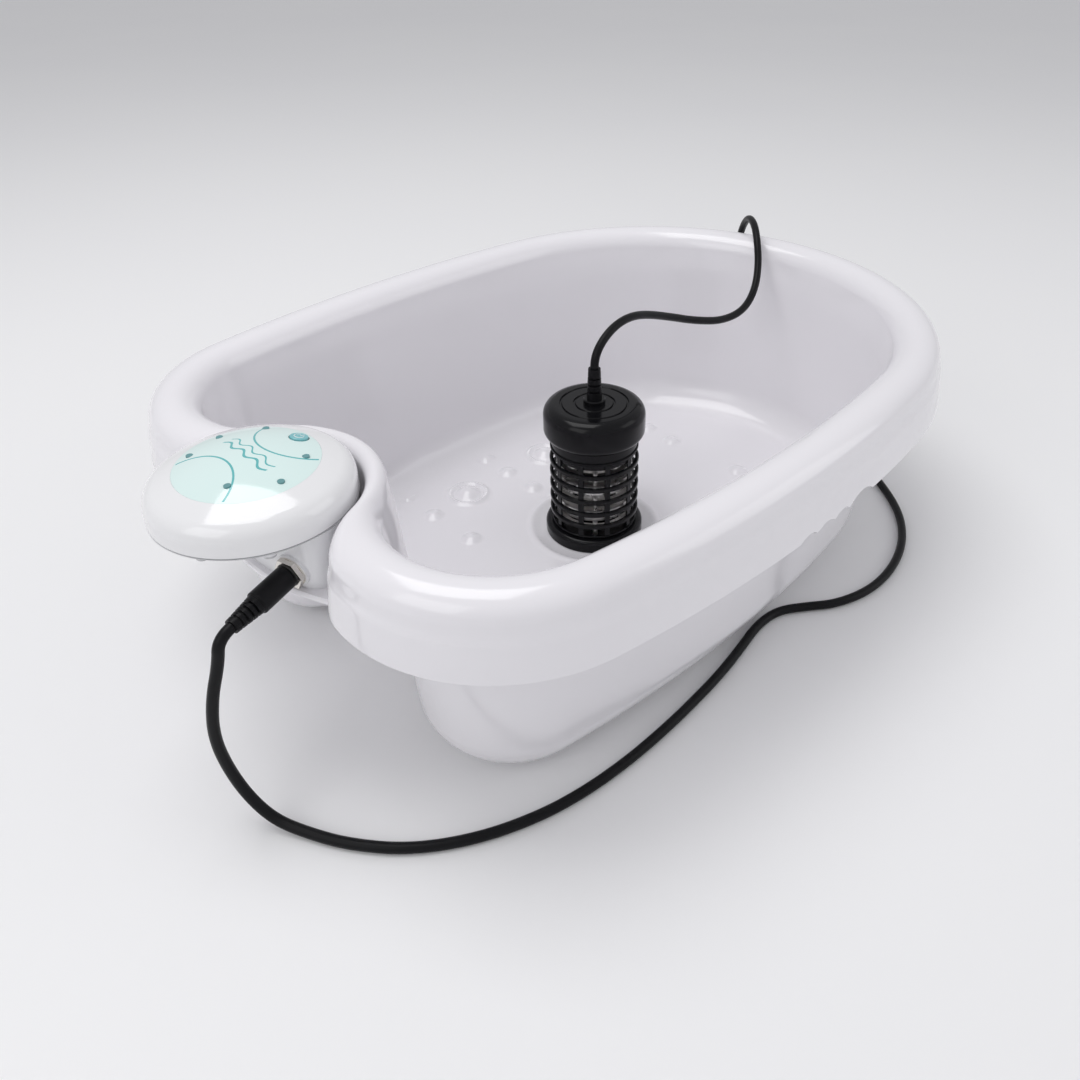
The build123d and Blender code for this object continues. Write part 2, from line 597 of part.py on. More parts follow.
# ---------------------------------------------------------------- ion array
def around_array(radius, z, height, mode=Mode.ADD):
    """An upright round on the array's axis, from z upwards."""
    with Locations((ARRAY_X, 0, z)):
        Cylinder(radius, height, align=(Align.CENTER, Align.CENTER, Align.MIN), mode=mode)


def ring_spots(radius, count, z, start=0.0):
    """Points spaced evenly around the array's axis."""
    return [(ARRAY_X + radius * cos(radians(start + 360 * i / count)),
             radius * sin(radians(start + 360 * i / count)), z) for i in range(count)]


CAGE_WALL = 2.2
CAGE_RING = 3.4            # height of each ring of the cage
POST_R = 5.0
ROD_R = 1.5
ROD_CIRCLE = 21.0
ELECTRODE_OUT = 22.8
PLATE_BOTTOM = 62.0
PLATE_TOP = 67.2

with BuildPart() as array_base:
    around_array(ARRAY_BASE_R, SEAT_FLOOR, CAGE_BOTTOM - SEAT_FLOOR)
    fillet(array_base.edges().filter_by(GeomType.CIRCLE).group_by(Axis.Z)[-1], 3.0)
    fillet(array_base.edges().filter_by(GeomType.CIRCLE).group_by(Axis.Z)[0], 0.8)
save(array_base, "array_base")

with BuildPart() as array_cage:
    around_array(ARRAY_CAGE_R, CAGE_BOTTOM, CAGE_TOP - CAGE_BOTTOM)
    around_array(ARRAY_CAGE_R - CAGE_WALL, CAGE_BOTTOM, CAGE_TOP - CAGE_BOTTOM, Mode.SUBTRACT)
    slot_pitch = (CAGE_TOP - CAGE_BOTTOM - CAGE_RING) / CAGE_SLOTS
    for i in range(CAGE_SLOTS):
        around_array(ARRAY_CAGE_R + 1, CAGE_BOTTOM + CAGE_RING + slot_pitch * i,
                     slot_pitch - CAGE_RING, Mode.SUBTRACT)
    for i in range(CAGE_BARS):
        with Locations(Location(ring_spots(ARRAY_CAGE_R - CAGE_WALL / 2 - 0.15, CAGE_BARS,
                                           CAGE_BOTTOM)[i], (0, 0, 36 * i))):
            Box(CAGE_WALL - 0.4, 3.4, CAGE_TOP - CAGE_BOTTOM,
                align=(Align.CENTER, Align.CENTER, Align.MIN))
save(array_cage, "array_cage")

with BuildPart() as core_post:
    around_array(POST_R, CAGE_BOTTOM, PLATE_BOTTOM - CAGE_BOTTOM)
    around_array(POST_R - 1.6, CAGE_BOTTOM, PLATE_BOTTOM - CAGE_BOTTOM, Mode.SUBTRACT)
save(core_post, "core_post")

with BuildPart() as inner_electrode:
    around_array(POST_R + 3.0, CAGE_BOTTOM + 3, PLATE_BOTTOM - CAGE_BOTTOM - 6)
    around_array(POST_R + 0.1, CAGE_BOTTOM + 3, PLATE_BOTTOM - CAGE_BOTTOM - 6, Mode.SUBTRACT)
save(inner_electrode, "inner_electrode")

with BuildPart() as electrode_spacers:
    for z in (CAGE_BOTTOM, PLATE_BOTTOM - 3):
        around_array(POST_R + 4.0, z, 3)
        around_array(POST_R + 0.1, z, 3, Mode.SUBTRACT)
save(electrode_spacers, "electrode_spacers")

with BuildPart() as outer_electrode:
    for i in range(7):
        around_array(ELECTRODE_OUT, CAGE_BOTTOM + 5 + 6 * i, 1.8)
        around_array(ELECTRODE_OUT - 3.6, CAGE_BOTTOM + 5 + 6 * i, 1.8, Mode.SUBTRACT)
    with Locations(*ring_spots(ROD_CIRCLE, 4, CAGE_BOTTOM, 45)):
        Cylinder(ROD_R + GAP, 50, align=(Align.CENTER, Align.CENTER, Align.MIN), mode=Mode.SUBTRACT)
save(outer_electrode, "outer_electrode")

with BuildPart() as tie_rods:
    with Locations(*ring_spots(ROD_CIRCLE, 4, CAGE_BOTTOM, 45)):
        Cylinder(ROD_R, PLATE_BOTTOM - CAGE_BOTTOM, align=(Align.CENTER, Align.CENTER, Align.MIN))
save(tie_rods, "tie_rods")

with BuildPart() as array_top_plate:
    around_array(ARRAY_CAGE_R - CAGE_WALL - 0.1, PLATE_BOTTOM, PLATE_TOP - PLATE_BOTTOM)
    around_array(POST_R, PLATE_BOTTOM, PLATE_TOP - PLATE_BOTTOM, Mode.SUBTRACT)
save(array_top_plate, "array_top_plate")

with BuildPart() as array_seal:
    around_array(ARRAY_CAGE_R - 0.4, CAGE_TOP, PLATE_TOP - CAGE_TOP)
    around_array(ARRAY_CAGE_R - CAGE_WALL, CAGE_TOP, PLATE_TOP - CAGE_TOP, Mode.SUBTRACT)
save(array_seal, "array_seal")

RELIEF_R = 4.5
COLLAR_R = 6.5
COLLAR = 3.0
RELIEF_TOP = 116.0
with BuildPart() as array_cap:
    with BuildSketch(Plane.XZ):
        with BuildLine():
            Polyline((0, PLATE_TOP), (ARRAY_CAGE_R, PLATE_TOP), (ARRAY_CAGE_R, 71.0), (30.3, 83.5))
            ThreePointArc((30.3, 83.5), (28.9, 90.6), (23.5, CAP_TOP))
            Polyline((23.5, CAP_TOP), (0, CAP_TOP), (0, PLATE_TOP))
        make_face()
    revolve(axis=Axis.Z)
    array_cap.part.position = (ARRAY_X, 0, 0)
    around_array(COLLAR_R, CAP_TOP, COLLAR)
    for radius in (19.0, 13.4):
        with BuildSketch(Plane.XY.offset(CAP_TOP)):
            with Locations((ARRAY_X, 0)):
                Circle(radius + 0.5)
                Circle(radius - 0.5, mode=Mode.SUBTRACT)
        extrude(amount=-0.8, mode=Mode.SUBTRACT)
    around_array(ARRAY_CAGE_R - 3.5, PLATE_TOP, 20.0, Mode.SUBTRACT)
    around_array(RELIEF_R - 1.5 + GAP, PLATE_TOP, CAP_TOP + COLLAR - PLATE_TOP, Mode.SUBTRACT)
save(array_cap, "array_cap")

with BuildPart() as strain_relief:
    with BuildSketch(Plane.XY.offset(CAP_TOP + COLLAR)):
        with Locations((ARRAY_X, 0)):
            Circle(RELIEF_R)
    with BuildSketch(Plane.XY.offset(RELIEF_TOP)):
        with Locations((ARRAY_X, 0)):
            Circle(3.6)
    loft(ruled=True)
    around_array(RELIEF_R - 1.5, CAP_TOP - 6, COLLAR + 6)
    for i in range(3):
        around_array(6, 101.5 + 4.2 * i, 1.2, Mode.SUBTRACT)
        around_array(3.0, 101.5 + 4.2 * i, 1.2)
save(strain_relief, "strain_relief")


# ---------------------------------------------------------------- the array's cord
def turn_between(a, b, c):
    """Angle that the line turns through at b, in radians."""
    first, second = Vector(b) - Vector(a), Vector(c) - Vector(b)
    return radians(first.get_angle(second))


def cord_radii(points):
    """Arc radius at each corner, kept within the shorter of its two runs."""
    radii = []
    for a, b, c in zip(points, points[1:], points[2:]):
        run = min((Vector(b) - Vector(a)).length, (Vector(c) - Vector(b)).length)
        radii.append(0.45 * run / tan(turn_between(a, b, c) / 2))
    return radii


def draw_cord(points):
    """A round cord along straight runs joined by tangent arcs."""
    radii = cord_radii(points)
    with BuildLine() as lay:
        FilletPolyline(*points, radius=radii)
    line = lay.wires()[0]
    start = Plane(origin=points[0], z_dir=Vector(points[1]) - Vector(points[0]))
    with BuildSketch(start) as section:
        Circle(CORD_D / 2)
    sweep(section.sketch, path=line)
    print("cord radii", [round(r, 1) for r in radii], "length", round(line.length, 1),
          "section x length", round(pi * (CORD_D / 2) ** 2 * line.length))


CORD_UPPER = [
    (15.0, 0, 116.0), (15.0, 0, 122.5), (22.5, 1.0, 130.5), (35.0, 2.5, 135.5), (50.0, 4.0, 136.0),
    (67.0, 6.0, 131.5), (90.0, 7.0, 122.5), (113.0, 4.0, 113.5), (138.0, 0.5, 106.5),
    (161.0, 0, 106.5), (180.0, 4.5, 114.0), (193.5, 12.0, 127.0), (202.5, 21.0, 141.0),
    (213.5, 32.0, 148.0), (225.0, 45.0, 147.0), (233.5, 55.5, 135.0), (237.5, 61.5, 114.0),
    (238.0, 63.0, 92.0), (238.0, 63.0, 70.0),
]
CORD_LOWER = [
    (238.0, 63.0, 70.0), (238.0, 63.0, 46.0), (240.0, 56.0, 22.0), (236.0, 38.0, 4.5),
    (230.5, 15.0, 2.5), (225.5, -15.0, 2.6), (217.0, -50.0, 2.5), (202.5, -85.0, 2.6),
    (186.0, -109.0, 2.5), (167.0, -130.0, 2.6), (148.0, -143.5, 2.5), (127.5, -152.5, 2.6),
    (104.0, -157.5, 2.5), (80.0, -157.0, 2.6), (58.0, -149.5, 2.5), (43.5, -138.0, 2.6),
    (30.0, -128.5, 2.5), (12.0, -127.0, 2.6), (-9.0, -131.0, 2.5), (-31.0, -134.5, 2.6),
    (-57.0, -136.5, 2.5), (-83.0, -137.5, 2.6), (-108.0, -137.0, 2.5), (-133.0, -134.5, 2.6),
    (-156.5, -129.0, 2.5), (-182.5, -118.0, 2.6), (-206.0, -101.0, 2.5), (-222.5, -80.0, 2.6),
    (-232.0, -61.0, 2.5), (-238.5, -48.0, 5.5), (-243.0, -39.0, 16.0), (-246.5, -34.5, 33.0),
    (-248.5, -34.0, 54.0), (-246.0, -36.5, 75.0), (-240.5, -39.0, 93.0),
    tuple(jack_plane(-1, PLUG_TAIL + 7.0).origin), tuple(jack_plane(-1, PLUG_TAIL).origin),
]

with BuildPart() as array_cord_upper:
    draw_cord(CORD_UPPER)
save(array_cord_upper, "array_cord_upper")

with BuildPart() as array_cord_lower:
    draw_cord(CORD_LOWER)
save(array_cord_lower, "array_cord_lower")
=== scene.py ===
"""The look of a foot spa basin, with its controller and lift-out ion array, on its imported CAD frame."""
import math

import bpy
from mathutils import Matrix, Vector
from mathutils.geometry import delaunay_2d_cdt


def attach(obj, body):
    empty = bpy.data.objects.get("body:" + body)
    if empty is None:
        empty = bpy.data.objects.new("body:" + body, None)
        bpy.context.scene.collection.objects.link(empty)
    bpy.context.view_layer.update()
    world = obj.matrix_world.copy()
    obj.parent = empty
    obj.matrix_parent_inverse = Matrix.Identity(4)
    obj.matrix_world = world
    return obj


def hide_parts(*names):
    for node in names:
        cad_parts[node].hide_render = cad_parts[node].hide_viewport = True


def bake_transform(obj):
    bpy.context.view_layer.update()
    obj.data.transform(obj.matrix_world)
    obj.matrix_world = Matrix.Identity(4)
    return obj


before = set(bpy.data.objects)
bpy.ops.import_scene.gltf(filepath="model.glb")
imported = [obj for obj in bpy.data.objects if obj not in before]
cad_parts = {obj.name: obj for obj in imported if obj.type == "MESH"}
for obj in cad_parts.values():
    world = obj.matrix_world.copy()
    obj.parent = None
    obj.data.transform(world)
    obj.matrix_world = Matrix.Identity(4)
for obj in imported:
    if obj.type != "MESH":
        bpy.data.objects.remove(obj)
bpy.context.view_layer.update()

# ---------------------------------------------------------------- camera
# A plain studio camera stands off one corner of the basin, about as high again as the basin is long,
# and looks down on it with the controller in front.
CAMERA_PLACE = (-0.33442, -0.32871, 0.35378)
CAMERA_YAW = 46.5
CAMERA_DOWN = 31.3
CAMERA_LENS, SENSOR_WIDTH = 31.07, 36.0
CAMERA_SHIFT = (-0.0470, -0.0844)
camera_data = bpy.data.cameras.new("studio_camera")
camera_data.sensor_width, camera_data.lens = SENSOR_WIDTH, CAMERA_LENS
camera_data.shift_x, camera_data.shift_y = CAMERA_SHIFT
camera_data.clip_start = 0.01
camera = bpy.data.objects.new("studio_camera", camera_data)
camera.location = CAMERA_PLACE
camera.rotation_euler = (math.radians(90 - CAMERA_DOWN), 0, math.radians(-CAMERA_YAW))
bpy.context.scene.collection.objects.link(camera)
bpy.context.scene.camera = camera

# ---------------------------------------------------------------- studio
# A pale matt floor under soft boxes: a broad one overhead, a weaker one at each side, and an even
# pale surround that fills the shadows.


def new_object(name, mesh):
    """An object of that name around a finished mesh."""
    made = bpy.data.objects.new(name, mesh)
    bpy.context.scene.collection.objects.link(made)
    return made


def mesh_of(name, points, faces, smooth_angle=None):
    """A mesh from points and faces, smooth except at edges sharper than an angle."""
    made = bpy.data.meshes.new(name)
    made.from_pydata(points, [], faces)
    made.update()
    if smooth_angle is not None:
        made.polygons.foreach_set("use_smooth", [True] * len(made.polygons))
        made.set_sharp_from_angle(angle=math.radians(smooth_angle))
    return made


def new_material(name, colour, roughness, metallic=0.0, coat=0.0, specular=0.5):
    """A material on one Principled shader, with its constant values set on the shader."""
    made = bpy.data.materials.new(name)
    made.use_nodes = True
    shader = made.node_tree.nodes["Principled BSDF"]
    shader.inputs["Base Color"].default_value = (*colour, 1)
    shader.inputs["Roughness"].default_value = roughness
    shader.inputs["Metallic"].default_value = metallic
    shader.inputs["Coat Weight"].default_value = coat
    shader.inputs["Specular IOR Level"].default_value = specular
    return made


def moulded_group():
    """Moulded or drawn surface: faint cloudy shade, uneven gloss and a fine orange-peel height."""
    group = bpy.data.node_groups.new("moulded_surface", "ShaderNodeTree")
    for name, kind, value in (("Colour", "NodeSocketColor", (0.8, 0.8, 0.8, 1)),
                              ("Shade", "NodeSocketColor", (0.7, 0.7, 0.7, 1)),
                              ("Gloss", "NodeSocketFloat", 0.2),
                              ("Gloss Range", "NodeSocketFloat", 0.05),
                              ("Cloud Scale", "NodeSocketFloat", 9.0),
                              ("Grain Scale", "NodeSocketFloat", 900.0)):
        group.interface.new_socket(name=name, in_out="INPUT", socket_type=kind).default_value = value
    for name, kind in (("Colour", "NodeSocketColor"), ("Roughness", "NodeSocketFloat"),
                       ("Height", "NodeSocketFloat")):
        group.interface.new_socket(name=name, in_out="OUTPUT", socket_type=kind)
    nodes, links = group.nodes, group.links
    given, result = nodes.new("NodeGroupInput"), nodes.new("NodeGroupOutput")
    place = nodes.new("ShaderNodeTexCoord")
    cloud, grain = nodes.new("ShaderNodeTexNoise"), nodes.new("ShaderNodeTexNoise")
    mix, gloss = nodes.new("ShaderNodeMix"), nodes.new("ShaderNodeMath")
    mix.data_type, gloss.operation = "RGBA", "MULTIPLY_ADD"
    cloud.inputs["Detail"].default_value = 3
    grain.inputs["Detail"].default_value = 1
    links.new(place.outputs["Object"], cloud.inputs["Vector"])
    links.new(place.outputs["Object"], grain.inputs["Vector"])
    links.new(given.outputs["Cloud Scale"], cloud.inputs["Scale"])
    links.new(given.outputs["Grain Scale"], grain.inputs["Scale"])
    links.new(cloud.outputs["Fac"], mix.inputs["Factor"])
    links.new(given.outputs["Colour"], mix.inputs["A"])
    links.new(given.outputs["Shade"], mix.inputs["B"])
    links.new(mix.outputs["Result"], result.inputs["Colour"])
    links.new(cloud.outputs["Fac"], gloss.inputs[0])
    links.new(given.outputs["Gloss Range"], gloss.inputs[1])
    links.new(given.outputs["Gloss"], gloss.inputs[2])
    links.new(gloss.outputs["Value"], result.inputs["Roughness"])
    links.new(grain.outputs["Fac"], result.inputs["Height"])
    return group


MOULDED = moulded_group()


def moulded_material(name, colour, shade, gloss, gloss_range=0.06, cloud=9.0, grain=900.0, bump=0.00002,
                     metallic=0.0, coat=0.0, specular=0.5):
    """A material whose colour, gloss and height come from the moulded surface group."""
    made = new_material(name, colour, gloss, metallic, coat, specular)
    nodes, links = made.node_tree.nodes, made.node_tree.links
    shader = nodes["Principled BSDF"]
    surface = nodes.new("ShaderNodeGroup")
    surface.node_tree = MOULDED
    for socket, value in (("Colour", (*colour, 1)), ("Shade", (*shade, 1)), ("Gloss", gloss),
                          ("Gloss Range", gloss_range), ("Cloud Scale", cloud), ("Grain Scale", grain)):
        surface.inputs[socket].default_value = value
    height = nodes.new("ShaderNodeBump")
    height.inputs["Strength"].default_value = 0.4
    height.inputs["Distance"].default_value = bump
    links.new(surface.outputs["Colour"], shader.inputs["Base Color"])
    links.new(surface.outputs["Roughness"], shader.inputs["Roughness"])
    links.new(surface.outputs["Height"], height.inputs["Height"])
    links.new(height.outputs["Normal"], shader.inputs["Normal"])
    return made


FLOOR_SIZE = 6.0
floor = new_object("studio_floor", mesh_of("studio_floor", [
    (x * FLOOR_SIZE, y * FLOOR_SIZE, 0) for x, y in ((-1, -1), (1, -1), (1, 1), (-1, 1))], [(0, 1, 2, 3)]))
floor.data.materials.append(moulded_material("pale_floor", (0.90, 0.90, 0.90), (0.87, 0.87, 0.88), 0.75,
                                             cloud=2.0, grain=300.0))

for name, place, aim, size, power in (
        ("overhead_box", (-0.2, 0.3, 1.5), (0, 0, 0.05), 0.9, 8.0),
        ("left_box", (-1.3, -0.1, 0.9), (0, 0, 0.08), 0.9, 3.4),
        ("right_box", (0.9, -1.1, 0.7), (0, 0, 0.08), 0.9, 2.6)):
    lamp = bpy.data.lights.new(name, "AREA")
    lamp.shape, lamp.size, lamp.energy = "SQUARE", size, power
    holder = bpy.data.objects.new(name, lamp)
    holder.location = place
    holder.rotation_euler = (Vector(aim) - Vector(place)).to_track_quat("-Z", "Y").to_euler()
    bpy.context.scene.collection.objects.link(holder)

world = bpy.data.worlds.new("pale_surround")
world.use_nodes = True
world.node_tree.nodes["Background"].inputs["Color"].default_value = (0.97, 0.97, 1.0, 1)
world.node_tree.nodes["Background"].inputs["Strength"].default_value = 0.56
bpy.context.scene.world = world
bpy.context.scene.view_settings.view_transform = "Standard"

# ---------------------------------------------------------------- cord of the array
# A round black rubber cord, 5 mm thick, leaves the array's strain relief, climbs over the far rim,
# drops behind the basin, runs round it on the floor and rises to the plug in the controller.
CORD_D = 0.005
rubber = moulded_material("black_cord_rubber", (0.004, 0.004, 0.005), (0.009, 0.009, 0.010), 0.30,
                          gloss_range=0.12, cloud=40.0, grain=1500.0, specular=0.15)
# where the cord enters the plug's boot, and the point before it, on the plug's axis
PLUG_END = (-0.23187, -0.03843, 0.10580)
CORD_TURN = (-0.23860, -0.04016, 0.10494)
CORD_UPPER = [
    (0.0150, 0, 0.1160), (0.0150, 0, 0.1225), (0.0225, 0.0010, 0.1305), (0.0350, 0.0025, 0.1355),
    (0.0500, 0.0040, 0.1360), (0.0670, 0.0060, 0.1315), (0.0900, 0.0070, 0.1225),
    (0.1130, 0.0040, 0.1135), (0.1380, 0.0005, 0.1065), (0.1610, 0, 0.1065), (0.1800, 0.0045, 0.1140),
    (0.1935, 0.0120, 0.1270), (0.2025, 0.0210, 0.1410), (0.2135, 0.0320, 0.1480),
    (0.2250, 0.0450, 0.1470), (0.2335, 0.0555, 0.1350), (0.2375, 0.0615, 0.1140),
    (0.2380, 0.0630, 0.0920), (0.2380, 0.0630, 0.0700),
]
CORD_LOWER = [
    (0.2380, 0.0630, 0.0700), (0.2380, 0.0630, 0.0460), (0.2400, 0.0560, 0.0220), (0.2360, 0.0380, 0.0045),
    (0.2305, 0.0150, 0.0025), (0.2255, -0.0150, 0.0026), (0.2170, -0.0500, 0.0025),
    (0.2025, -0.0850, 0.0026), (0.1860, -0.1090, 0.0025), (0.1670, -0.1300, 0.0026),
    (0.1480, -0.1435, 0.0025), (0.1275, -0.1525, 0.0026), (0.1040, -0.1575, 0.0025),
    (0.0800, -0.1570, 0.0026), (0.0580, -0.1495, 0.0025), (0.0435, -0.1380, 0.0026),
    (0.0300, -0.1285, 0.0025), (0.0120, -0.1270, 0.0026), (-0.0090, -0.1310, 0.0025),
    (-0.0310, -0.1345, 0.0026), (-0.0570, -0.1365, 0.0025), (-0.0830, -0.1375, 0.0026),
    (-0.1080, -0.1370, 0.0025), (-0.1330, -0.1345, 0.0026), (-0.1565, -0.1290, 0.0025),
    (-0.1825, -0.1180, 0.0026), (-0.2060, -0.1010, 0.0025), (-0.2225, -0.0800, 0.0026),
    (-0.2320, -0.0610, 0.0025), (-0.2385, -0.0480, 0.0055), (-0.2430, -0.0390, 0.0160),
    (-0.2465, -0.0345, 0.0330), (-0.2485, -0.0340, 0.0540), (-0.2460, -0.0365, 0.0750),
    (-0.2405, -0.0390, 0.0930), CORD_TURN, PLUG_END,
]


def laid_line(name, points):
    """Points along one smooth spline that the given points steer."""
    curve = bpy.data.curves.new(name, "CURVE")
    curve.dimensions, curve.resolution_u = "3D", 12
    spline = curve.splines.new("NURBS")
    spline.points.add(len(points) - 1)
    for knot, place in zip(spline.points, points):
        knot.co = (*place, 1)
    spline.order_u, spline.use_endpoint_u = 3, True
    holder = new_object(name, curve)
    bpy.context.view_layer.update()
    line = bpy.data.meshes.new_from_object(holder.evaluated_get(bpy.context.evaluated_depsgraph_get()))
    places = [tuple(v.co) for v in line.vertices]
    bpy.data.objects.remove(holder)
    bpy.data.meshes.remove(line)
    return places


def tube(name, line, diameter, sides=20):
    """A closed round tube along a line of points, its rings turned as little as possible."""
    line = [Vector(p) for p in line]
    points, faces = [], []
    across = None
    for i, place in enumerate(line):
        ahead = (line[min(i + 1, len(line) - 1)] - line[max(i - 1, 0)]).normalized()
        if across is None:
            across = ahead.orthogonal().normalized()
        across = (across - ahead * across.dot(ahead)).normalized()
        side = ahead.cross(across)
        for k in range(sides):
            turn = 2 * math.pi * k / sides
            points.append(place + (across * math.cos(turn) + side * math.sin(turn)) * diameter / 2)
    for i in range(len(line) - 1):
        for k in range(sides):
            a, b = i * sides + k, i * sides + (k + 1) % sides
            faces.append((a, b, b + sides, a + sides))
    faces.append(tuple(reversed(range(sides))))
    faces.append(tuple(range((len(line) - 1) * sides, len(line) * sides)))
    return mesh_of(name, [tuple(p) for p in points], faces, 60)


upper_line = laid_line("upper_line", CORD_UPPER)
upper_cord = new_object("cord_upper", tube("cord_upper", upper_line, CORD_D))
upper_cord.data.materials.append(rubber)
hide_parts("array_cord_upper")
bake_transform(upper_cord)

lower_line = laid_line("lower_line", CORD_LOWER)
lower_cord = new_object("cord_lower", tube("cord_lower", lower_line, CORD_D))
lower_cord.data.materials.append(rubber)
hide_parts("array_cord_lower")
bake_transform(lower_cord)

# ---------------------------------------------------------------- tub
# The basin is one vacuum-formed shell of glossy white plastic: a broad rolled rim with a skirt outside,
# sloping walls that run down in a wide curve to the floor, and a round recess for the controller.
MM = 0.001
RIM_TOP, SKIRT_LOW, UNDERSIDE, FLOOR_TOP = 137.0, 101.0, 2.5, 7.0
WIDEST_X, RECESS_X = 1.5, -195.5
RIM_OUTER = (235.0, 161.0, 165.5, -199.5, 78.0, 27.0, 46.0)
INSIDE_TOP = (209.0, 135.5, 139.5, -173.5, 52.0, 36.0, 56.0)
OUTWARD = (1, 1, 1, -1, 1, 1, -1)
WALL, SKIRT_FLARE, WALL_DRAFT = 3.0, 3.2, 11.0
ARC_STEPS = (64, 90, 34, 24, 44, 24, 34, 90)


def grown(outline, by):
    """The plan outline moved outwards all round."""
    return tuple(value + way * by for value, way in zip(outline, OUTWARD))


def outline_points(outline):
    """Points round the plan outline, the same number on each of its eight tangent arcs."""
    far_x, end_r, half_width, near_x, lobe_r, tip_r, recess_r = outline
    reach = far_x - end_r - WIDEST_X
    side_r = (reach**2 + half_width**2 - end_r**2) / (2 * (half_width - end_r))
    side_y = half_width - side_r
    tip_x = near_x + tip_r
    tip_y = math.sqrt((recess_r + tip_r) ** 2 - (tip_x - RECESS_X) ** 2)
    across, up = tip_x - WIDEST_X, tip_y - side_y
    span = math.hypot(across, up)
    from_side, from_tip = side_r - lobe_r, lobe_r - tip_r
    along = (from_side**2 - from_tip**2 + span**2) / (2 * span)
    aside = math.sqrt(from_side**2 - along**2)
    lobe_x = WIDEST_X + (along * across + aside * up) / span
    lobe_y = side_y + (along * up - aside * across) / span
    end = math.atan2(-side_y, reach)
    side = math.atan2(lobe_y - side_y, lobe_x - WIDEST_X)
    lobe = math.atan2(tip_y - lobe_y, tip_x - lobe_x) % (2 * math.pi)
    tip = math.atan2(-tip_y, RECESS_X - tip_x) % (2 * math.pi)
    recess = math.atan2(tip_y, tip_x - RECESS_X)
    arcs = (((far_x - end_r, 0), end_r, -end, 2 * end), ((WIDEST_X, side_y), side_r, end, side - end),
            ((lobe_x, lobe_y), lobe_r, side, lobe - side), ((tip_x, tip_y), tip_r, lobe, tip - lobe),
            ((RECESS_X, 0), recess_r, recess, -2 * recess), ((tip_x, -tip_y), tip_r, -tip, tip - lobe),
            ((lobe_x, -lobe_y), lobe_r, -lobe, lobe - side), ((WIDEST_X, -side_y), side_r, -side, side - end))
    points = []
    for ((x, y), radius, start, sweep), steps in zip(arcs, ARC_STEPS):
        for k in range(steps):
            turn = start + sweep * k / steps
            points.append((x + radius * math.cos(turn), y + radius * math.sin(turn)))
    return points


def inside_ring(z, inset=0.0):
    """The inside outline at a height, further in by an inset."""
    return outline_points(grown(INSIDE_TOP, -WALL_DRAFT * (RIM_TOP - z) / (RIM_TOP - FLOOR_TOP) - inset))


def body_ring(z, inset=0.0):
    """The outside of the tub's body at a height."""
    return inside_ring(z, inset - WALL)


def skirt_ring(z, inset=0.0):
    """The outside of the skirt at a height."""
    flare = SKIRT_FLARE * (RIM_TOP - z) / (RIM_TOP - SKIRT_LOW)
    return outline_points(grown(RIM_OUTER, flare - inset))


GRIP_R, GRIP_DEPTH, NOTCH_R, NOTCH_DEPTH, NOTCH_X = 9.0, 2.6, 16.0, 4.5, 23.5
GRIP_X = (-22.5, -8.5, 5.5)
SIDE_Y = 120.0             # beyond this the skirt belongs to one of the long sides
FINGER_GRIPS = [(x, GRIP_R, GRIP_DEPTH) for x in GRIP_X] + [(NOTCH_X, NOTCH_R, NOTCH_DEPTH)]


def skirt_edge(x, y):
    """Height of the skirt's lower edge, with its finger grips in the middle of both sides."""
    height = SKIRT_LOW
    if abs(y) > SIDE_Y:
        for grip_x, radius, depth in FINGER_GRIPS:
            if abs(x - grip_x) < radius:
                height = max(height, SKIRT_LOW - radius + depth + math.sqrt(radius**2 - (x - grip_x) ** 2))
    return height


def level(ring, z):
    """A ring of the shell at one height."""
    return [(x, y, z) for x, y in ring]


BODY_EDGE_R, FLOOR_EDGE_R, RIM_ROOF_Z = 24.0, 20.0, 130.0
FILLET_STEPS, ROLL_STEPS = 10, 20
BODY_LEVELS, WALL_LEVELS = (60.0, 90.0, 115.0), (118.0, 105.0, 90.0, 70.0, 50.0, 38.0)
ROLL_FALL, ROLL_SHARE = 13.5, 0.52         # how far the rolled rim falls to both sides, at most
OUTER_FULLNESS, INNER_FULLNESS = 0.8, 0.95
rings = []
for k in range(FILLET_STEPS + 1):          # outside, from the flat underside up into the wall
    turn = math.radians(90 * k / FILLET_STEPS)
    z = UNDERSIDE + BODY_EDGE_R * (1 - math.cos(turn))
    rings.append(level(body_ring(z, BODY_EDGE_R * (1 - math.sin(turn))), z))
for z in (*BODY_LEVELS, RIM_ROOF_Z - 2, RIM_ROOF_Z):
    rings.append(level(body_ring(z), z))
rings.append(level(skirt_ring(RIM_ROOF_Z, WALL), RIM_ROOF_Z))
rings.append(level(skirt_ring(RIM_ROOF_Z - 2, WALL), RIM_ROOF_Z - 2))
LEDGE_Z = 121.0
edge = [skirt_edge(x, y) for x, y in skirt_ring(SKIRT_LOW)]
for lift, inset in ((0.6, WALL), (0.0, WALL - 0.6), (0.0, 0.8), (0.8, 0.0), (4.0, 0.0)):
    rings.append([(x, y, e + lift) for (x, y), e in zip(skirt_ring(SKIRT_LOW, inset), edge)])
for z, inset in ((112.0, 0.0), (LEDGE_Z - 3.0, 0.0), (LEDGE_Z - 1.2, 0.1), (LEDGE_Z, 0.5)):
    rings.append(level(skirt_ring(z, inset), z))
outer, inner = skirt_ring(RIM_TOP, 0.0), inside_ring(RIM_TOP)
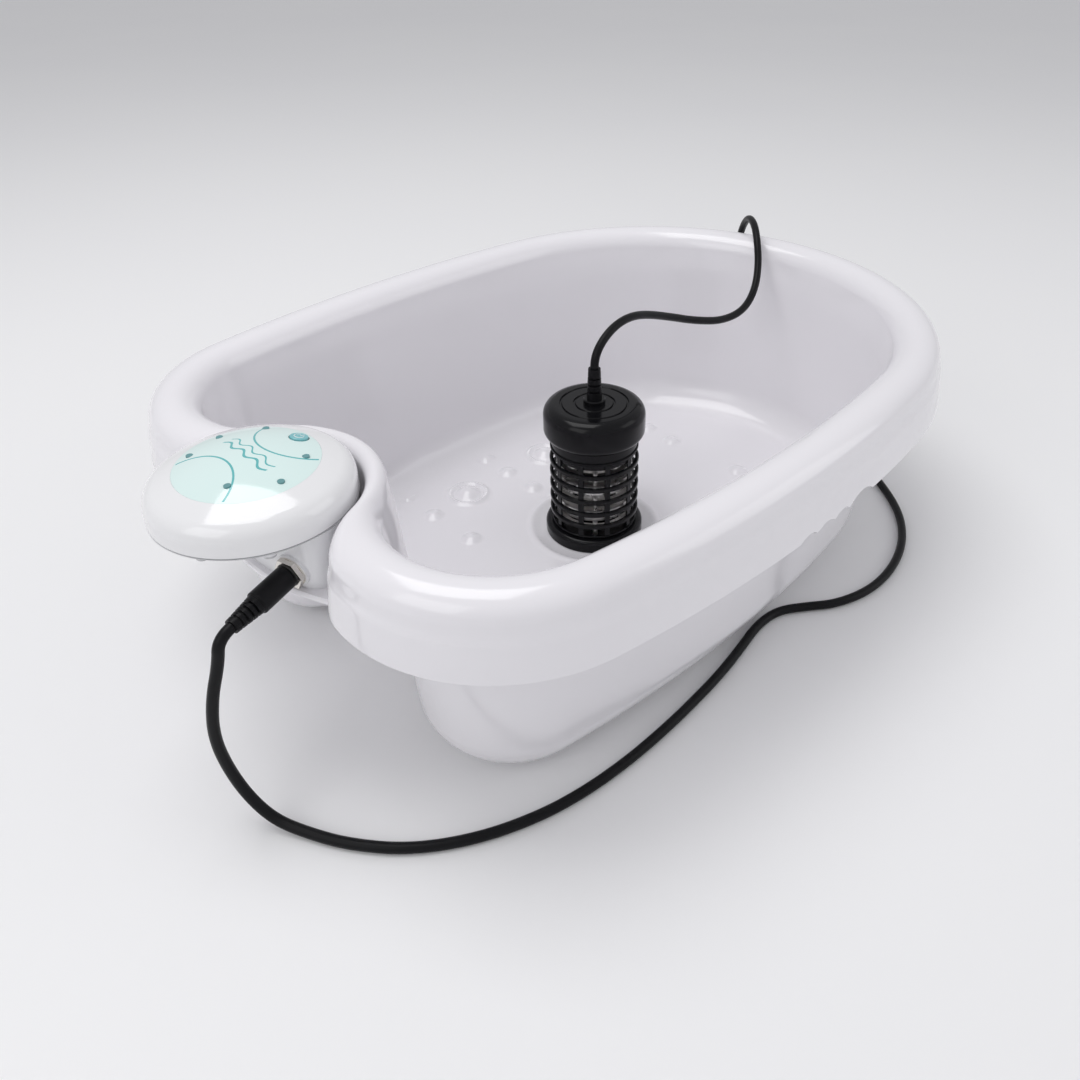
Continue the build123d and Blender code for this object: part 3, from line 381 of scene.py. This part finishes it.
for k in range(ROLL_STEPS + 1):            # the rolled rim, from the skirt over to the inside wall
    turn = math.pi * k / ROLL_STEPS
    ring = []
    for (ox, oy), (ix, iy) in zip(outer, inner):
        width = math.hypot(ox - ix, oy - iy)
        fall = min(ROLL_FALL, width * ROLL_SHARE)
        share = (1 - math.cos(turn)) / 2
        rise = math.sin(turn) ** (OUTER_FULLNESS if share < 0.5 else INNER_FULLNESS)
        ring.append((ox + (ix - ox) * share, oy + (iy - oy) * share, RIM_TOP - fall * (1 - rise)))
    rings.append(ring)
for z in WALL_LEVELS:
    rings.append(level(inside_ring(z), z))
for k in range(FILLET_STEPS + 1):          # inside, from the wall down to the floor
    turn = math.radians(90 * k / FILLET_STEPS)
    z = FLOOR_TOP + FLOOR_EDGE_R * (1 - math.sin(turn))
    rings.append(level(inside_ring(z, FLOOR_EDGE_R * (1 - math.cos(turn))), z))

# The floor carries domed massage bumps for both feet and, for the array, a round seat with a low ridge.
ARRAY_X, SEAT_R, SEAT_DEPTH, RIDGE = 15.0, 36.5, 1.0, (38.5, 41.5, 0.8)
SMALL_BUMPS = [(-49.0, 44.0), (-49.5, 80.5), (-48.5, 110.0), (16.5, 57.5), (17.5, 84.0), (18.5, 108.0),
               (128.0, 29.0), (130.0, 54.0), (127.5, 79.0)]
LARGE_BUMPS = [(-18.5, 83.0), (51.5, 82.0)]
SMALL_R, SMALL_RISE = 7.0, 2.6
LARGE_R, LARGE_RISE = 9.5, 4.6
HALO_R, HALO_WIDTH, HALO_RISE, HALO_END = 12.0, 1.7, 1.9, 15.6


def small_height(r):
    """Height of a small bump at a distance from its middle."""
    return SMALL_RISE * math.cos(min(r / SMALL_R, 1) * math.pi / 2) ** 1.2


def large_height(r):
    """Height of a large bump: a knob inside a low round ring."""
    knob = LARGE_RISE * math.cos(min(r / LARGE_R, 1) * math.pi / 2) ** 1.1
    halo = HALO_RISE * math.exp(-((r - HALO_R) / HALO_WIDTH) ** 2) if r < HALO_END else 0.0
    return max(knob, halo)


def seat_height(r):
    """The array's seat: let into the floor, with a rounded ridge around it."""
    if r < SEAT_R:
        return -SEAT_DEPTH
    if RIDGE[0] - 0.8 < r < RIDGE[1] + 0.8:
        return RIDGE[2] * math.cos((r - sum(RIDGE[:2]) / 2) / (RIDGE[1] - RIDGE[0] + 1.6) * math.pi) ** 0.7
    return 0.0


SEAT_RADII = [6, 14, 22, 30, 36.3, 36.6, 37.6, 38.2, 38.8, 39.6, 40.4, 41.2, 41.8, 42.3, 44, 50]
SMALL_RADII = [1, 2, 3, 4, 5, 6, 6.7, 7.0, 8.5]
LARGE_RADII = [1.5, 3, 4.5, 6, 7.5, 8.6, 9.4, 10.2, 11.1, 12.0, 12.9, 13.8, 14.8, 15.6, 17]
floor_spots = [(ARRAY_X, 0.0, SEAT_RADII, 60, seat_height)]
for side in (-1, 1):
    floor_spots += [(x, side * y, SMALL_RADII, 28, small_height) for x, y in SMALL_BUMPS]
    floor_spots += [(x, side * y, LARGE_RADII, 36, large_height) for x, y in LARGE_BUMPS]
floor_edge = rings[-1]
floor_plan = [Vector((x, y)) for x, y, _ in floor_edge]
heights = [FLOOR_TOP] * len(floor_edge)
for x, y, radii, count, shape in floor_spots:
    floor_plan.append(Vector((x, y)))
    heights.append(FLOOR_TOP + shape(0.0))
    for i, r in enumerate(radii):
        for k in range(count):
            turn = 2 * math.pi * (k + 0.5 * (i % 2)) / count
            floor_plan.append(Vector((x + r * math.cos(turn), y + r * math.sin(turn))))
            heights.append(FLOOR_TOP + shape(r))
spread, _, floor_faces, sources, _, _ = delaunay_2d_cdt(
    floor_plan, [], [list(range(len(floor_edge)))], 1, 1e-4)

count = len(rings[0])
tub_points = [p for ring in rings for p in ring]
tub_faces = [tuple(reversed(range(count)))]
for i in range(len(rings) - 1):
    for k in range(count):
        a, b = i * count + k, i * count + (k + 1) % count
        tub_faces.append((a, b, b + count, a + count))
last = (len(rings) - 1) * count
place_of = {}
for index, origin in enumerate(sources):
    source = min(origin)
    if source < count:
        place_of[index] = last + source
    else:
        place_of[index] = len(tub_points)
        tub_points.append((spread[index][0], spread[index][1], heights[source]))
tub_faces += [tuple(place_of[i] for i in face) for face in floor_faces]
tub = new_object("tub_shell", mesh_of("tub_shell", [tuple(MM * c for c in p) for p in tub_points],
                                      tub_faces, 38))
white = moulded_material("white_tub_plastic", (0.85, 0.835, 0.865), (0.82, 0.805, 0.835), 0.14, coat=0.25,
                         cloud=7.0, grain=420.0, bump=0.00004)
tub.data.materials.append(white)

# The shelf across the foot of the recess is moulded with the shell.
SHELF_TOP, SHELF_BOTTOM, SHELF_ARC_R, SHELF_FRONT = 101.5, 98.5, 118.0, -204.5
shelf_r = INSIDE_TOP[6] + 0.5
meet_x = (shelf_r**2 - SHELF_ARC_R**2 + (SHELF_FRONT + SHELF_ARC_R) ** 2 - RECESS_X**2) / (
    2 * (SHELF_FRONT + SHELF_ARC_R - RECESS_X))
meet_y = math.sqrt(shelf_r**2 - (meet_x - RECESS_X) ** 2)
back_turn = math.atan2(meet_y, meet_x - RECESS_X)
front_turn = math.atan2(meet_y, SHELF_FRONT + SHELF_ARC_R - meet_x)
BACK_HALF, FRONT_HALF = 24, 20              # steps along half of each of the shelf's two arcs
shelf_plan = []
for k in range(2 * BACK_HALF + 1):
    turn = back_turn * (1 - k / BACK_HALF)
    shelf_plan.append((RECESS_X + shelf_r * math.cos(turn), shelf_r * math.sin(turn)))
for k in range(1, 2 * FRONT_HALF):
    turn = front_turn * (1 - k / FRONT_HALF)
    shelf_plan.append((SHELF_FRONT + SHELF_ARC_R - SHELF_ARC_R * math.cos(turn), -SHELF_ARC_R * math.sin(turn)))
shelf_rings = [(SHELF_BOTTOM, 0.6), (SHELF_BOTTOM + 0.5, 0.0), (SHELF_TOP - 0.8, 0.0), (SHELF_TOP, 0.8)]
shelf_points = []
for z, inset in shelf_rings:
    for x, y in shelf_plan:
        r = math.hypot(x - RECESS_X, y) or 1.0
        shelf_points.append((MM * (x - (x - RECESS_X) * inset / r), MM * (y - y * inset / r), MM * z))
n = len(shelf_plan)
shelf_faces = [(i * n + k, (i + 1) * n + k, (i + 1) * n + (k + 1) % n, i * n + (k + 1) % n)
               for i in range(len(shelf_rings) - 1) for k in range(n)]
shelf_faces += [tuple(range(n)), tuple(reversed(range(3 * n, 4 * n)))]
shelf = new_object("tub_shelf", mesh_of("tub_shelf", shelf_points, shelf_faces, 38))
shelf.data.materials.append(white)
for piece in (tub, shelf):
    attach(piece, "basin")
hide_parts("basin_tub")


def dress(material, *names):
    """Gives each named CAD piece its material."""
    for name in names:
        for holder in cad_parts[name].material_slots:
            holder.material = material


# ---------------------------------------------------------------- feet
# Four round pads of black rubber, pressed into shallow pockets in the underside.
dress(moulded_material("foot_rubber", (0.03, 0.03, 0.03), (0.05, 0.05, 0.05), 0.7, cloud=60.0), "rubber_feet")

# ---------------------------------------------------------------- controller
# A round control head of glossy white plastic: a domed cover screwed down on a lower housing that
# drops into the recess of the rim, with a grey rubber seal in the joint between them.
dress(moulded_material("white_controller_plastic", (0.85, 0.85, 0.86), (0.82, 0.82, 0.83), 0.10, coat=0.4,
                       cloud=14.0, grain=700.0), "controller_cover")
dress(moulded_material("white_housing_plastic", (0.81, 0.81, 0.82), (0.77, 0.77, 0.79), 0.2, coat=0.2,
                       cloud=16.0, grain=700.0), "controller_base", "board_posts")
dress(moulded_material("grey_seal_rubber", (0.44, 0.45, 0.46), (0.38, 0.39, 0.40), 0.6, cloud=60.0),
      "cover_seal")

# ---------------------------------------------------------------- panel film
# A thin printed film is stuck on the crown of the dome. Its faint mint tint, two fine teal arcs and a
# pair of waves between them are printed on the back of the film.
DOME_X = -0.1949
TEAL = (0.12, 0.47, 0.48)


def math_node(nodes, links, operation, *values):
    """A math node fed with numbers or with other nodes' values."""
    made = nodes.new("ShaderNodeMath")
    made.operation = operation
    for socket, value in zip(made.inputs, values):
        if isinstance(value, (int, float)):
            socket.default_value = value
        else:
            links.new(value, socket)
    return made.outputs[0]


def printed_arc_group():
    """Mask of a fine circle line on the film, kept within a reach of the dome's axis."""
    group = bpy.data.node_groups.new("printed_arc", "ShaderNodeTree")
    for name in ("Centre X", "Centre Y", "Radius", "Half Width", "Reach"):
        group.interface.new_socket(name=name, in_out="INPUT", socket_type="NodeSocketFloat")
    group.interface.new_socket(name="Mask", in_out="OUTPUT", socket_type="NodeSocketFloat")
    nodes, links = group.nodes, group.links
    given, result = nodes.new("NodeGroupInput"), nodes.new("NodeGroupOutput")
    place, split = nodes.new("ShaderNodeTexCoord"), nodes.new("ShaderNodeSeparateXYZ")
    links.new(place.outputs["Object"], split.inputs["Vector"])

    def step(operation, *values):
        return math_node(nodes, links, operation, *values)

    dx = step("SUBTRACT", split.outputs["X"], given.outputs["Centre X"])
    dy = step("SUBTRACT", split.outputs["Y"], given.outputs["Centre Y"])
    away = step("SQRT", step("ADD", step("MULTIPLY", dx, dx), step("MULTIPLY", dy, dy)))
    off = step("ABSOLUTE", step("SUBTRACT", away, given.outputs["Radius"]))
    line = step("LESS_THAN", off, given.outputs["Half Width"])
    px = step("SUBTRACT", split.outputs["X"], DOME_X)
    out = step("SQRT", step("ADD", step("MULTIPLY", px, px),
                            step("MULTIPLY", split.outputs["Y"], split.outputs["Y"])))
    links.new(step("MULTIPLY", line, step("LESS_THAN", out, given.outputs["Reach"])), result.inputs["Mask"])
    return group


PRINTED_ARC = printed_arc_group()
film = moulded_material("printed_panel_film", (0.70, 0.87, 0.84), (0.74, 0.88, 0.86), 0.08, coat=0.5,
                        cloud=30.0, grain=900.0)
nodes, links = film.node_tree.nodes, film.node_tree.links
masks = []
for centre_x, radius, reach in ((0.0275, 0.0206, 0.0292), (-0.0300, 0.0215, 0.0292)):
    arc = nodes.new("ShaderNodeGroup")
    arc.node_tree = PRINTED_ARC
    for socket, value in (("Centre X", DOME_X + centre_x), ("Centre Y", 0.0), ("Radius", radius),
                          ("Half Width", 0.00045), ("Reach", reach)):
        arc.inputs[socket].default_value = value
    masks.append(arc.outputs["Mask"])
place, split = nodes.new("ShaderNodeTexCoord"), nodes.new("ShaderNodeSeparateXYZ")
links.new(place.outputs["Object"], split.inputs["Vector"])


def film_math(operation, *values):
    """A math node in the film's own material."""
    return math_node(nodes, links, operation, *values)


WAVE_TURNS, WAVE_END = 600.0, 0.0165
for offset, swing, half in ((-0.0016, 0.0012, 0.0006), (0.0022, 0.0012, 0.0004)):
    wave = film_math("MULTIPLY", film_math("SINE", film_math("MULTIPLY", split.outputs["Y"], WAVE_TURNS)), swing)
    off = film_math("ABSOLUTE", film_math(
        "SUBTRACT", film_math("SUBTRACT", split.outputs["X"], DOME_X + 0.001 + offset), wave))
    near = film_math("LESS_THAN", film_math("ABSOLUTE", split.outputs["Y"]), WAVE_END)
    masks.append(film_math("MULTIPLY", film_math("LESS_THAN", off, half), near))
ink = masks[0]
for mask in masks[1:]:
    ink = film_math("MAXIMUM", ink, mask)
print_mix = nodes.new("ShaderNodeMix")
print_mix.data_type = "RGBA"
shader = nodes["Principled BSDF"]
links.new(shader.inputs["Base Color"].links[0].from_socket, print_mix.inputs["A"])
print_mix.inputs["B"].default_value = (*TEAL, 1)
links.new(ink, print_mix.inputs["Factor"])
links.new(print_mix.outputs["Result"], shader.inputs["Base Color"])
dress(film, "panel_overlay")
dress(moulded_material("teal_lens_plastic", (0.10, 0.27, 0.29), (0.13, 0.32, 0.33), 0.15, coat=0.4,
                       cloud=80.0), "indicator_lenses")

# ---------------------------------------------------------------- power button
# A round teal push button in its own hole of the film, with the usual power sign printed on its cap.
dress(moulded_material("teal_button_plastic", (0.16, 0.47, 0.51), (0.20, 0.53, 0.56), 0.2, coat=0.3,
                       cloud=80.0), "power_button")
BUTTON_OUT, DOME_APEX, DOME_TOP_R, BUTTON_PROUD = 0.0245, 0.153, 0.0911827, 0.00072
tilt = math.asin(BUTTON_OUT / DOME_TOP_R)
button_up = Vector((math.sin(tilt), 0, math.cos(tilt)))
button_ahead = Vector((math.cos(tilt), 0, -math.sin(tilt)))
button_side = Vector((0, 1, 0))
seat_z = DOME_APEX - DOME_TOP_R + math.sqrt(DOME_TOP_R**2 - BUTTON_OUT**2)
button_top = Vector((DOME_X + BUTTON_OUT, 0, seat_z)) + button_up * BUTTON_PROUD
SIGN_R, SIGN_LINE = 0.0021, 0.00035


def on_button(across, along):
    """A point on the button's cap."""
    return button_top + button_side * across + button_ahead * along


sign_arc = [on_button(SIGN_R * math.sin(math.radians(a)), SIGN_R * math.cos(math.radians(a)))
            for a in range(38, 323, 12)]
sign_bar = [on_button(0, SIGN_R * s) for s in (0.25, 0.6, 0.95, 1.3)]
sign_white = moulded_material("sign_white", (0.85, 0.9, 0.9), (0.8, 0.86, 0.86), 0.4, cloud=80.0)
for name, line in (("power_sign_ring", sign_arc), ("power_sign_bar", sign_bar)):
    sign = new_object(name, tube(name, line, SIGN_LINE, 8))
    sign.data.materials.append(sign_white)
    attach(sign, "button")

# ---------------------------------------------------------------- inside the controller
# Two boards of green fibreglass carry the switch, the lamps and the power supply. None of it shows when
# the cover is on.
dress(moulded_material("green_board", (0.03, 0.16, 0.07), (0.02, 0.12, 0.05), 0.4, cloud=120.0),
      "circuit_board", "power_board")
dark = moulded_material("black_component_plastic", (0.03, 0.03, 0.03), (0.05, 0.05, 0.05), 0.4, cloud=90.0)
dress(dark, "tact_switch", "relay")
dress(moulded_material("clear_lamp_plastic", (0.85, 0.88, 0.9), (0.8, 0.84, 0.88), 0.15, cloud=90.0),
      "indicator_leds")
dress(moulded_material("laminated_core_steel", (0.35, 0.34, 0.33), (0.26, 0.25, 0.25), 0.45, cloud=200.0,
                       metallic=0.9), "transformer")
dress(moulded_material("aluminium_can", (0.62, 0.62, 0.64), (0.55, 0.55, 0.57), 0.35, cloud=60.0,
                       metallic=1.0), "capacitors")

# ---------------------------------------------------------------- jacks
# Two round sockets of black plastic stand in flat seats in the housing's front, each drawn tight by a
# washer and a polished nickel-plated nut.
nickel = moulded_material("nickel_plate", (0.78, 0.75, 0.70), (0.66, 0.63, 0.58), 0.16, gloss_range=0.15,
                          cloud=150.0, metallic=1.0)
dress(nickel, "jack_nuts", "jack_washers", "plug_tip", "plug_barrel")
dress(dark, "array_jack", "power_jack")

# ---------------------------------------------------------------- screws
# Steel pan-head screws from below: four hold the cover to the housing, two hold the housing to the shelf.
dress(moulded_material("screw_steel", (0.55, 0.55, 0.56), (0.45, 0.45, 0.46), 0.3, cloud=150.0, metallic=1.0),
      "cover_screws", "mounting_screws")

# ---------------------------------------------------------------- plug
# The array's plug is moulded on the cord in one piece of black rubber, with a ribbed boot behind it.
dress(rubber, "plug_body", "plug_boot", "strain_relief", "array_seal")

# ---------------------------------------------------------------- ion array
# A slotted cage of glossy black plastic with a heavy cap and base, around a stack of stainless rings
# on steel rods.
black = moulded_material("black_array_plastic", (0.003, 0.003, 0.004), (0.007, 0.007, 0.008), 0.12,
                         gloss_range=0.08, cloud=30.0, grain=800.0, specular=0.2)
dress(black, "array_base", "array_top_plate", "core_post", "electrode_spacers")


def bend(r, z, radius, start, end, count=8):
    """Points along an arc of a turned profile, between two angles in degrees."""
    turns = [math.radians(start + (end - start) * k / count) for k in range(count + 1)]
    return [(r + radius * math.cos(turn), z + radius * math.sin(turn)) for turn in turns]


def turned(profile, steps=72):
    """Points and faces of a ring turned about the array's axis from a closed profile."""
    n, points, faces = len(profile), [], []
    for k in range(steps):
        turn = 2 * math.pi * k / steps
        points += [(MM * (ARRAY_X + r * math.cos(turn)), MM * r * math.sin(turn), MM * z) for r, z in profile]
        ahead = (k + 1) % steps
        faces += [(k * n + i, ahead * n + i, ahead * n + (i + 1) % n, k * n + (i + 1) % n) for i in range(n)]
    return points, faces


# The cap is a drum with a rounded top, a narrow neck below and two fine grooves around its collar.
CAP_FOOT, NECK_TOP, CAP_TOP, COLLAR_TOP = 67.2, 72.6, 94.0, 97.0
CAP_R, NECK_R, COLLAR_R, STEM_R = 30.3, 26.0, 6.5, 3.1
FOOT_BEND, TOP_BEND, BEND_Z = 5.0, 7.0, 78.2
HOLLOW_R, HOLLOW_TOP = 23.0, 88.0
GROOVES, GROOVE_SIDE, GROOVE_FLOOR, GROOVE_DEPTH = (20.5, 12.5), 0.4, 0.8, 0.8
cap_profile = [(HOLLOW_R, CAP_FOOT), (NECK_R, CAP_FOOT), (NECK_R, NECK_TOP)]
cap_profile += bend(CAP_R - FOOT_BEND, BEND_Z, FOOT_BEND, -75, 0)
cap_profile += bend(CAP_R - TOP_BEND, CAP_TOP - TOP_BEND, TOP_BEND, 0, 90, 10)
for groove_r in GROOVES:
    cap_profile += [(groove_r, CAP_TOP), (groove_r - GROOVE_SIDE, CAP_TOP - GROOVE_DEPTH),
                    (groove_r - GROOVE_SIDE - GROOVE_FLOOR, CAP_TOP - GROOVE_DEPTH),
                    (groove_r - 2 * GROOVE_SIDE - GROOVE_FLOOR, CAP_TOP)]
cap_profile += [(COLLAR_R, CAP_TOP), (COLLAR_R, COLLAR_TOP - 0.6), (COLLAR_R - 0.6, COLLAR_TOP),
                (STEM_R, COLLAR_TOP), (STEM_R, HOLLOW_TOP), (HOLLOW_R - 3, HOLLOW_TOP),
                (HOLLOW_R, HOLLOW_TOP - 3)]
cap = new_object("cap_shell", mesh_of("cap_shell", *turned(cap_profile), 32))

# The cage's rings stand out as fins in front of ten upright bars, between two plain rims.
CAGE_LOW, CAGE_HIGH, CAGE_R, CAGE_IN = 14.0, 66.0, 27.0, 24.8
SLOTS, FIN, RIM, FIN_EDGE = 6, 2.8, 1.6, 0.5
BARS, BAR_OUT, BAR_HALF, BAR_START, BAR_END = 10, 26.0, 1.6, 25.3, 0.2
fins = [(CAGE_LOW, CAGE_LOW + RIM, BAR_OUT), (CAGE_HIGH - RIM, CAGE_HIGH, BAR_OUT)]
for i in range(1, SLOTS):
    middle = CAGE_LOW + (CAGE_HIGH - CAGE_LOW) * i / SLOTS
    fins.append((middle - FIN / 2, middle + FIN / 2, CAGE_R))
cage_points, cage_faces = [], []


def add_to_cage(points, faces):
    """Joins one closed ring or bar to the cage's mesh."""
    start = len(cage_points)
    cage_points.extend(points)
    cage_faces.extend(tuple(start + i for i in face) for face in faces)


for low, high, radius in fins:
    add_to_cage(*turned([(CAGE_IN, low), (radius - FIN_EDGE, low), (radius, low + FIN_EDGE),
                         (radius, high - FIN_EDGE), (radius - FIN_EDGE, high), (CAGE_IN, high)]))
bar_in, bar_out = CAGE_IN + 0.1, BAR_OUT - 0.2
bar_plan = ((bar_in, -BAR_HALF), (bar_out, -BAR_HALF), (bar_out, BAR_HALF), (bar_in, BAR_HALF))
for i in range(BARS):
    turn = math.radians(BAR_START + 360 / BARS * i)
    out, along = (math.cos(turn), math.sin(turn)), (-math.sin(turn), math.cos(turn))
    corners = [(MM * (ARRAY_X + out[0] * r + along[0] * w), MM * (out[1] * r + along[1] * w), MM * z)
               for z in (CAGE_LOW + BAR_END, CAGE_HIGH - BAR_END) for r, w in bar_plan]
    add_to_cage(corners, [(3, 2, 1, 0), (4, 5, 6, 7), (0, 1, 5, 4), (1, 2, 6, 5), (2, 3, 7, 6), (3, 0, 4, 7)])
cage = new_object("cage_rings", mesh_of("cage_rings", cage_points, cage_faces, 32))
for piece, node in ((cap, "array_cap"), (cage, "array_cage")):
    piece.data.materials.append(black)
    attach(piece, "array")
    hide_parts(node)

# The stack inside is spun and drawn stainless steel.
stainless = moulded_material("stainless_electrode", (0.80, 0.79, 0.77), (0.66, 0.65, 0.63), 0.22,
                             gloss_range=0.15, cloud=160.0, metallic=1.0)
dress(stainless, "inner_electrode", "outer_electrode", "tie_rods")
